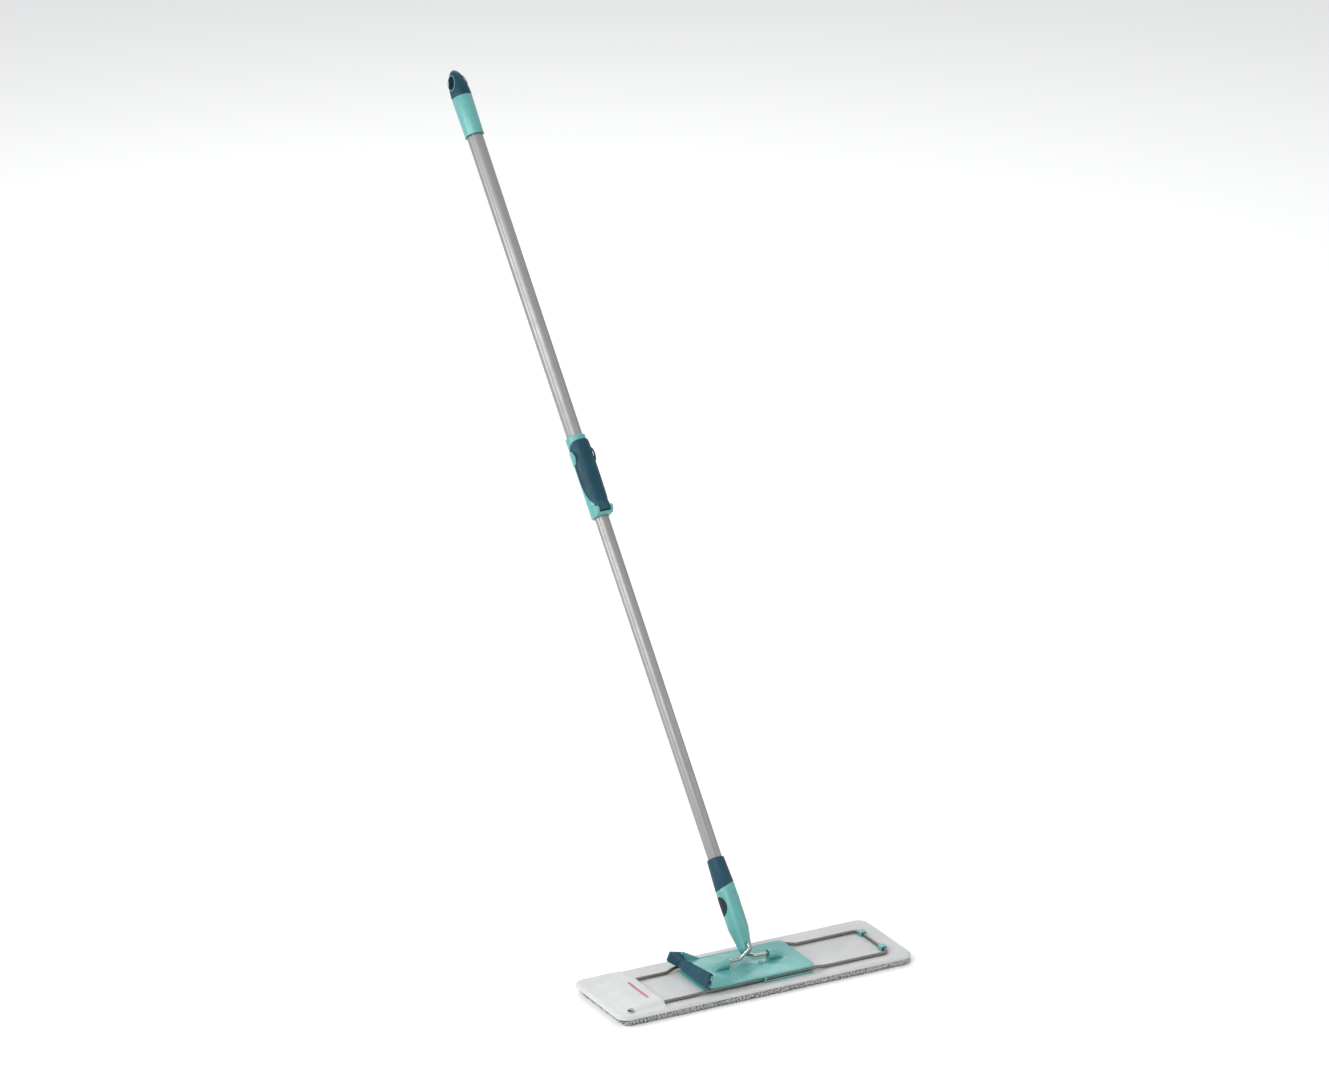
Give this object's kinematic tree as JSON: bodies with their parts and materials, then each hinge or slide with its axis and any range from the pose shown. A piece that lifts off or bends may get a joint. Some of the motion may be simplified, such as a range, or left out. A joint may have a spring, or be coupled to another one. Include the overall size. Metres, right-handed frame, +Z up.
{
  "type": "flat mop",
  "caption": "Flat floor mop: telescopic handle with a lever clamp, push-button plug joint, two-axis wire joint, folding wire head with foot pedal and a fluffy clip-on cover.",
  "frame": {"origin": "on the floor, under the wiping face, straight below the middle of the axle that joins the handle to the head", "axes": "+Z up; +X along the head, away from the foot pedal; +Y back, the way the handle leans at rest"},
  "size_m": [0.48, 0.9198, 1.1423],
  "materials": {
    "teal_plastic": "moulded, semi-gloss, fine texture",
    "navy_plastic": "moulded, satin",
    "dark_button": "moulded, matt",
    "handle_tube": "silver-grey powder coat, satin",
    "steel_wire": "drawn wire, satin",
    "spring_steel": "bright spring wire",
    "eyelet_metal": "nickel plated",
    "pad_rubber": "moulded, matt",
    "bush_plastic": "moulded, matt",
    "backing_cloth": "close woven white polyester",
    "pile": "long fluffy white microfibre"
  },
  "bodies": {
    "upper_handle": {"upper_tube": "handle_tube", "grip_sleeve": "teal_plastic", "hang_cap": "navy_plastic", "clamp_housing": "teal_plastic", "lever_pin": "steel_wire", "friction_pad": "pad_rubber"},
    "clamp_lever": {"clamp_lever": "navy_plastic"},
    "lower_handle": {"lower_tube": "handle_tube", "guide_bush": "bush_plastic", "tube_collar": "navy_plastic"},
    "joint_cone": {"joint_cone": "teal_plastic", "button_spring": "spring_steel"},
    "release_button": {"release_button": "dark_button"},
    "bail": {"bail_wire": "steel_wire"},
    "head": {"centre_plate": "teal_plastic", "right_frame": "steel_wire", "cover_clip_front": "teal_plastic", "cover_clip_back": "teal_plastic", "cover_pile": "pile", "cover_backing": "backing_cloth", "pedal_pin": "steel_wire", "pedal_spring": "spring_steel"},
    "pedal": {"pedal": "navy_plastic"},
    "left_frame": {"left_frame": "steel_wire", "pocket_flap": "backing_cloth", "eyelet": "eyelet_metal"}
  },
  "joints": [
    {"name": "telescope", "type": "slide", "parent": "upper_handle", "child": "lower_handle", "axis": [-0.0209, 0.6114, 0.791], "range_m": [-0.06, 0.44]},
    {"name": "clamp_lever", "type": "hinge", "parent": "upper_handle", "child": "clamp_lever", "pos_m": [-0.01413, 0.40988, 0.59298], "axis": [0.9998, 0.0128, 0.0166], "range_deg": [0, 100]},
    {"name": "handle_plug", "type": "slide", "parent": "lower_handle", "child": "joint_cone", "axis": [0.0209, -0.6114, -0.791], "range_m": [0, 0.045]},
    {"name": "release_button", "type": "slide", "parent": "joint_cone", "child": "release_button", "axis": [0.9998, 0.0128, 0.0166], "range_m": [0, 0.0025], "stiffness_N_per_m": 400, "springref_m": -0.001, "deforming": ["button_spring"]},
    {"name": "bail_pivot", "type": "hinge", "parent": "joint_cone", "child": "bail", "pos_m": [0, 0.0104, 0.04945], "axis": [0, -0.7912, 0.6115], "range_deg": [-48.8, 51.2]},
    {"name": "axle", "type": "hinge", "parent": "bail", "child": "head", "pos_m": [0, 0, 0.036], "axis": [1, 0, 0], "range_deg": [-95.7, 20.3]},
    {"name": "foot_pedal", "type": "hinge", "parent": "head", "child": "pedal", "pos_m": [-0.08, 0, 0.03], "axis": [0, -1, 0], "range_deg": [0, 10], "stiffness_Nm_per_rad": 0.8, "springref_deg": -5.73, "deforming": ["pedal_spring"]},
    {"name": "left_frame_fold", "type": "hinge", "parent": "head", "child": "left_frame", "pos_m": [-0.003, 0, 0.0212], "axis": [0, -1, 0], "range_deg": [0, 85], "deforming": ["cover_pile", "cover_backing"]}
  ]
}
